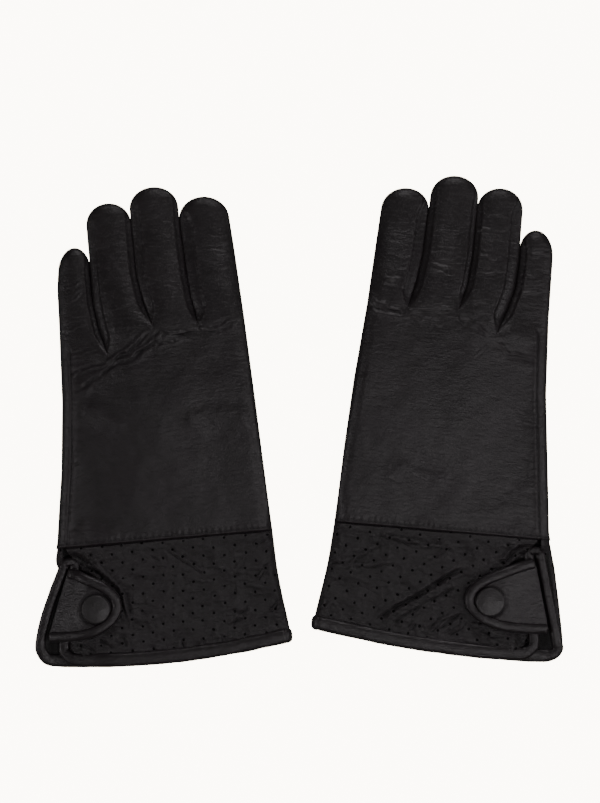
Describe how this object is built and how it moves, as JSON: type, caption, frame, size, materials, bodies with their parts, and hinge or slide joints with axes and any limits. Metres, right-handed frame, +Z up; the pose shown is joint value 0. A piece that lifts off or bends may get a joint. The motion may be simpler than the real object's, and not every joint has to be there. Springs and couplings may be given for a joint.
{
  "type": "leather gloves",
  "caption": "A left and a right black leather glove lying palm down, with a slit, bound cuff closed by a tab with a covered snap, and hinged fingers, thumbs and tabs.",
  "frame": {"origin": "on the surface the gloves lie on, below the middle of the pair's box", "axes": "+Z up from the surface through the backs of the hands, +Y towards the fingertips, +X to the right when seen from above with the fingertips away: towards the right-hand glove"},
  "size_m": [0.2788, 0.2582, 0.0163],
  "materials": {
    "leather": "satin, fine grain",
    "perforated": "satin, perforated and crinkled",
    "binding": "smooth satin, rolled",
    "lining": "matt knit",
    "metal": "dark nickel"
  },
  "bodies": {
    "left_hand": {"left_trank": "leather", "left_cuff_back": "perforated", "left_cuff_palm": "perforated", "left_hand_lining": "lining", "left_cuff_binding": "binding", "left_snap_stud": "metal", "left_snap_post": "metal"},
    "right_hand": {"right_trank": "leather", "right_cuff_back": "perforated", "right_cuff_palm": "perforated", "right_hand_lining": "lining", "right_cuff_binding": "binding", "right_snap_stud": "metal", "right_snap_post": "metal"},
    "left_index": {"left_index_leaf": "leather", "left_index_fourchette_little_side": "leather", "left_index_lining": "lining"},
    "left_middle": {"left_middle_leaf": "leather", "left_middle_fourchette_index_side": "leather", "left_middle_fourchette_little_side": "leather", "left_middle_lining": "lining"},
    "left_ring": {"left_ring_leaf": "leather", "left_ring_fourchette_index_side": "leather", "left_ring_fourchette_little_side": "leather", "left_ring_lining": "lining"},
    "left_little": {"left_little_leaf": "leather", "left_little_fourchette_index_side": "leather", "left_little_lining": "lining"},
    "left_thumb": {"left_thumb": "leather", "left_thumb_lining": "lining"},
    "left_tab": {"left_tab": "leather", "left_tab_binding": "binding", "left_snap_cap": "binding", "left_snap_socket": "metal"},
    "right_index": {"right_index_leaf": "leather", "right_index_fourchette_little_side": "leather", "right_index_lining": "lining"},
    "right_middle": {"right_middle_leaf": "leather", "right_middle_fourchette_index_side": "leather", "right_middle_fourchette_little_side": "leather", "right_middle_lining": "lining"},
    "right_ring": {"right_ring_leaf": "leather", "right_ring_fourchette_index_side": "leather", "right_ring_fourchette_little_side": "leather", "right_ring_lining": "lining"},
    "right_little": {"right_little_leaf": "leather", "right_little_fourchette_index_side": "leather", "right_little_lining": "lining"},
    "right_thumb": {"right_thumb": "leather", "right_thumb_lining": "lining"},
    "right_tab": {"right_tab": "leather", "right_tab_binding": "binding", "right_snap_cap": "binding", "right_snap_socket": "metal"}
  },
  "joints": [
    {"name": "gloves_apart", "type": "slide", "parent": "left_hand", "child": "right_hand", "axis": [1, 0, 0], "range_m": [0, 0.1]},
    {"name": "left_index_knuckle", "type": "hinge", "parent": "left_hand", "child": "left_index", "pos_m": [-0.04027, 0.05375, 0.0114], "axis": [0.9962, 0.0872, 0], "range_deg": [0, 60]},
    {"name": "left_middle_knuckle", "type": "hinge", "parent": "left_hand", "child": "left_middle", "pos_m": [-0.06396, 0.05167, 0.0114], "axis": [0.9962, 0.0872, 0], "range_deg": [0, 60]},
    {"name": "left_ring_knuckle", "type": "hinge", "parent": "left_hand", "child": "left_ring", "pos_m": [-0.08995, 0.0494, 0.0112], "axis": [0.9962, 0.0872, 0], "range_deg": [0, 60]},
    {"name": "left_little_knuckle", "type": "hinge", "parent": "left_hand", "child": "left_little", "pos_m": [-0.1127, 0.03486, 0.00691], "axis": [0.9962, 0.0872, 0], "range_deg": [0, 60]},
    {"name": "left_thumb_root", "type": "hinge", "parent": "left_hand", "child": "left_thumb", "pos_m": [-0.03916, -0.02295, 0.0062], "axis": [0, 0, -1], "range_deg": [0, 50]},
    {"name": "left_tab_hinge", "type": "hinge", "parent": "left_hand", "child": "left_tab", "pos_m": [-0.12723, -0.09881, 0.0059], "axis": [-0.2798, -0.96, 0], "range_deg": [0, 80]},
    {"name": "right_index_knuckle", "type": "hinge", "parent": "right_hand", "child": "right_index", "pos_m": [0.04576, 0.06204, 0.0114], "axis": [0.9962, -0.0872, 0], "range_deg": [0, 60]},
    {"name": "right_middle_knuckle", "type": "hinge", "parent": "right_hand", "child": "right_middle", "pos_m": [0.06955, 0.05996, 0.0114], "axis": [0.9962, -0.0872, 0], "range_deg": [0, 60]},
    {"name": "right_ring_knuckle", "type": "hinge", "parent": "right_hand", "child": "right_ring", "pos_m": [0.09523, 0.05771, 0.01098], "axis": [0.9962, -0.0872, 0], "range_deg": [0, 60]},
    {"name": "right_little_knuckle", "type": "hinge", "parent": "right_hand", "child": "right_little", "pos_m": [0.11721, 0.04524, 0.00676], "axis": [0.9962, -0.0872, 0], "range_deg": [0, 60]},
    {"name": "right_thumb_root", "type": "hinge", "parent": "right_hand", "child": "right_thumb", "pos_m": [0.04206, -0.01845, 0.0062], "axis": [0, 0, 1], "range_deg": [0, 50]},
    {"name": "right_tab_hinge", "type": "hinge", "parent": "right_hand", "child": "right_tab", "pos_m": [0.1279, -0.09407, 0.0059], "axis": [-0.1928, 0.9812, 0], "range_deg": [0, 80]}
  ]
}
